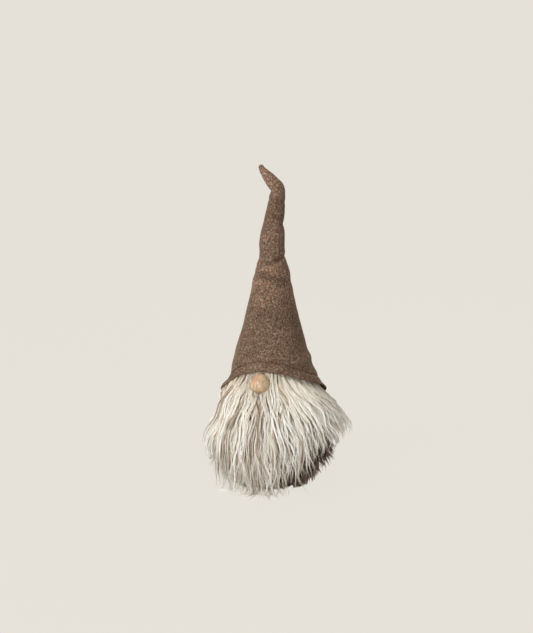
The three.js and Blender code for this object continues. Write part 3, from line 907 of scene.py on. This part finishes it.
def keep_off_nose(points):
    """Parts the fibres round the nose, and tells how far each was pushed at most."""
    rel = points - NOSE_AT
    ahead = rel @ NOSE_OUTWARD
    across = rel - ahead[..., None] * NOSE_OUTWARD
    away = np.linalg.norm(across, axis=-1)
    push = np.clip(NOSE_CLEAR - away, 0, None) * smoothstep(ahead, -15, -9)
    way = across / (away[..., None] + 1e-6)
    above = np.clip(way[..., 2] + 0.2, 0, 1)
    way[..., 0] += np.sign(rel[..., 0] + 1e-6) * above * 1.2
    way /= np.linalg.norm(way, axis=-1, keepdims=True)
    moved = points + way * push[..., None] - NOSE_OUTWARD * (push * 0.35)[..., None]
    return moved, push.max(axis=1)


def fur_piece(name, fibres, chosen, material, node):
    """The chosen fibres as one mesh riding on the body, in place of the CAD pile solid that node names."""
    obj = strands(name, *[values[chosen] for values in fibres])
    finish_piece(obj, material, "body")
    if node:
        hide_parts(node)


# The beard's meshes: each one's name, the azimuths between which its locks are rooted, and its CAD node.
BEARD_PIECES = [
    ("beard_side_right_rear", -110, -78, None),
    ("beard_side_right", -78, -58, "beard_pile_side_right"),
    ("beard_front_right_outer", -58, -39, None),
    ("beard_front_right", -39, -19, "beard_pile_front_right"),
    ("beard_centre_right", -19, 1, None),
    ("beard_centre", 1, 21, "beard_pile_centre"),
    ("beard_front_left", 21, 41, "beard_pile_front_left"),
    ("beard_front_left_outer", 41, 61, None),
    ("beard_side_left", 61, 81, "beard_pile_side_left"),
    ("beard_side_left_rear", 81, 110, None),
]
layers = [beard_layer(*layer) for layer in LAYERS]
points, thick, column, az, first = [np.concatenate(part) for part in zip(*layers)]
for name, low, high, node in BEARD_PIECES:
    fur_piece(name, (points, thick, column, first), (az >= low) & (az < high), BEARD_FUR, node)

# ------------------------------------------------------------------ body fur

# How far out the fur's tips may reach, by height.
FUR_HEIGHTS = [0, 6, 15, 23, 32, 45, 55, 85, 125, 150]
FUR_RADII = [50, 57, 68, 79, 86, 90, 92, 88, 75, 66]
BODY_STATIONS = 6  # points along each fibre


def body_strands(tufts, per_tuft):
    """The brown body pile: short pointed tufts that lean down all over the sack."""
    a0 = rng.uniform(-180, 180, tufts)
    covered = (np.abs(a0) < 50) & (rng.random(tufts) < 0.55)
    a0 = a0[~covered]
    tufts = len(a0)
    top = np.minimum(brim_height(np.radians(a0)) + 12, 150)
    z0 = SACK_LOW_Z + (top - SACK_LOW_Z) * rng.random(tufts) ** 1.15
    length = rng.uniform(20, 32, tufts)
    down = np.radians(rng.uniform(34, 66, tufts))  # below the outward normal
    sway = rng.normal(0, 0.30, tufts)
    sack = sack_radius(z0)
    out = length * np.cos(down)
    tip_z = z0 - length * np.sin(down)
    room = np.interp(tip_z, FUR_HEIGHTS, FUR_RADII) + rng.normal(0, 2.2, tufts) - sack
    room = room - 5 * smoothstep(np.abs(a0), 100, 130)
    # the beard covers the fur on the gnome's right, so the fur lies flatter there
    room = room - 10 * smoothstep(tip_z, 70, 90) * (1 - smoothstep(np.abs(a0 + 75), 30, 50))
    squash = np.clip(room / out, 0.15, 1.1)

    tuft = np.repeat(np.arange(tufts), per_tuft)
    n = len(tuft)
    own = np.linspace(0, 1, BODY_STATIONS)[None, :]
    arc = own * (length[tuft] * rng.uniform(0.66, 1.05, n))[:, None]
    fall = down[tuft][:, None] * (0.6 + 0.6 * own)
    dr = np.cumsum(np.cos(fall) * np.gradient(arc, axis=1), axis=1) * squash[tuft][:, None]
    dz = np.cumsum(np.sin(fall) * np.gradient(arc, axis=1), axis=1)
    width = rng.uniform(2.2, 4.0, tufts)[tuft][:, None] * (1.2 - 1.05 * own)
    turn = rng.uniform(0, 2 * math.pi, n)[:, None]
    disc = np.sqrt(rng.random(n))[:, None]
    z = z0[tuft][:, None] + disc * np.sin(turn) * width * 1.1 - dz
    z = np.maximum(z, 1.2 + 1.5 * rng.random(n)[:, None])
    lateral = disc * np.cos(turn) * width + sway[tuft][:, None] * arc
    r = np.maximum(sack[tuft][:, None] + dr, sack_radius(z) + 0.6 + 2 * own)
    inside_hat = under_brim(z.ravel(), np.repeat(a0[tuft], BODY_STATIONS)).reshape(r.shape) - 1
    r = np.minimum(r, np.maximum(inside_hat, sack_radius(z) + 0.8))
    angle = np.radians(a0)[tuft][:, None] + lateral / r
    thick = rng.uniform(0.22, 0.42, n)
    column = rng.integers(0, SHADE_COLUMNS, n)
    return ring_points(angle, r, z), thick, column, a0[tuft]


points, thick, column, az = body_strands(1900, 10)
fibres = (points, thick, column, np.zeros(len(az)))
fur_piece("body_fur_back_left", fibres, az >= 100, BODY_FUR, "body_fur_back")
fur_piece("body_fur_back_right", fibres, az <= -100, BODY_FUR, None)
fur_piece("body_fur_front_right", fibres, (az > -100) & (az < 0), BODY_FUR, "body_fur_front")
fur_piece("body_fur_front_left", fibres, (az >= 0) & (az < 100), BODY_FUR, None)

# ------------------------------------------------------------------ stage, lights and camera

BACKDROP = srgb(229, 225, 216)
FLOOR_RADII = (1.0, 400.0, 1500.0, 30000.0)
FLOOR_Z = -0.2
DOME_RADIUS = 26000.0
STAGE_COLUMNS = 96
CAMERA_AZIMUTH = math.radians(15)
CAMERA_ELEVATION = math.radians(10)
CAMERA_DISTANCE = 2.14
CAMERA_AIM = Vector((-0.0076, -0.0020, 0.241))
# How bright the studio is from the camera's right, at 0, to its left, at 1.
STUDIO_LEVELS = [(0.0, 0.35), (0.2, 0.45), (0.34, 1.0), (0.66, 1.0), (0.8, 1.25), (1.0, 1.35)]

scene = bpy.context.scene
scene.view_settings.view_transform = "Standard"
scene.view_settings.look = "None"


def studio_world():
    """A soft pale light from all round that is brighter on the camera's left."""
    world = bpy.data.worlds.new("studio")
    scene.world = world
    world.use_nodes = True
    nodes, links = world.node_tree.nodes, world.node_tree.links
    leftward = nodes.new("ShaderNodeVectorMath")
    leftward.operation = "DOT_PRODUCT"
    leftward.inputs[1].default_value = (-0.5 * math.cos(CAMERA_AZIMUTH), -0.5 * math.sin(CAMERA_AZIMUTH), 0)
    links.new(nodes.new("ShaderNodeTexCoord").outputs["Generated"], leftward.inputs[0])
    half = nodes.new("ShaderNodeMath")
    half.operation = "ADD"
    half.inputs[1].default_value = 0.5
    links.new(leftward.outputs["Value"], half.inputs[0])
    level = ramp(nodes, [(place, grey(amount)) for place, amount in STUDIO_LEVELS])
    links.new(half.outputs[0], level.inputs[0])
    toned = mix(nodes, links, level.outputs[0], BACKDROP, 1.0, "MULTIPLY")
    links.new(toned, nodes["Background"].inputs["Color"])
    nodes["Background"].inputs["Strength"].default_value = 1.0


def glow_node(nodes):
    glow = nodes.new("ShaderNodeEmission")
    glow.inputs["Color"].default_value = BACKDROP
    glow.inputs["Strength"].default_value = 1.0
    return glow


def pale_floor():
    """A plain floor of the backdrop's tone, which takes a faint shadow."""
    co = turned_rows([(r, FLOOR_Z) for r in FLOOR_RADII], STAGE_COLUMNS)
    floor = make_mesh("floor", co, [grid_faces(len(FLOOR_RADII), STAGE_COLUMNS)], smooth=False)
    mat, nodes, links, bsdf = new_material("floor")
    bsdf.inputs["Base Color"].default_value = (0.98, 0.97, 0.95, 1)
    bsdf.inputs["Roughness"].default_value = 0.9
    bsdf.inputs["Specular IOR Level"].default_value = 0.0
    blend = nodes.new("ShaderNodeMixShader")
    blend.inputs[0].default_value = 0.015
    links.new(glow_node(nodes).outputs[0], blend.inputs[1])
    links.new(bsdf.outputs[0], blend.inputs[2])
    links.new(blend.outputs[0], nodes["Material Output"].inputs["Surface"])
    floor.data.materials.append(mat)


def even_backdrop():
    """A dome that is one even tone to the camera, and lets the world's light through to the gnome."""
    tilts = np.linspace(-0.02, math.pi / 2 - 0.001, 24)
    outline = [(DOME_RADIUS * math.cos(t), DOME_RADIUS * math.sin(t)) for t in tilts]
    faces = [grid_faces(len(tilts), STAGE_COLUMNS)]
    backdrop = make_mesh("backdrop", turned_rows(outline, STAGE_COLUMNS), faces, smooth=False)
    mat, nodes, links, _ = new_material("backdrop")
    links.new(glow_node(nodes).outputs[0], nodes["Material Output"].inputs["Surface"])
    backdrop.data.materials.append(mat)
    backdrop.visible_diffuse = False
    backdrop.visible_glossy = False
    backdrop.visible_transmission = False
    backdrop.visible_volume_scatter = False
    backdrop.visible_shadow = False


def area_light(name, place, target, size, power, color):
    light = bpy.data.lights.new(name, "AREA")
    light.shape = "DISK"
    light.size = size
    light.energy = power
    light.color = color
    obj = bpy.data.objects.new(name, light)
    obj.location = place
    obj.rotation_euler = (Vector(target) - Vector(place)).to_track_quat("-Z", "Y").to_euler()
    scene.collection.objects.link(obj)


def aim_camera():
    """The camera looks a little down, from a little round to the gnome's left."""
    camera_data = bpy.data.cameras.new("camera")
    camera_data.lens = 85
    camera_data.sensor_width = 36
    camera_data.clip_end = 60
    camera = bpy.data.objects.new("camera", camera_data)
    scene.collection.objects.link(camera)
    level = math.cos(CAMERA_ELEVATION)
    outward = Vector((math.sin(CAMERA_AZIMUTH) * level, -math.cos(CAMERA_AZIMUTH) * level,
                      math.sin(CAMERA_ELEVATION)))
    camera.location = CAMERA_AIM + CAMERA_DISTANCE * outward
    camera.rotation_euler = (CAMERA_AIM - camera.location).to_track_quat("-Z", "Y").to_euler()
    scene.camera = camera


studio_world()
pale_floor()
even_backdrop()
area_light("key", (-0.65, -1.25, 1.45), (0, 0, 0.2), 0.6, 19, (1.0, 0.985, 0.97))
area_light("front", (-0.1, -2.0, 0.35), (0, 0, 0.08), 0.8, 19, (1.0, 0.99, 0.98))
area_light("back", (0.2, 1.5, 1.3), (0, 0, 0.2), 0.8, 8, (1.0, 0.98, 0.95))
aim_camera()
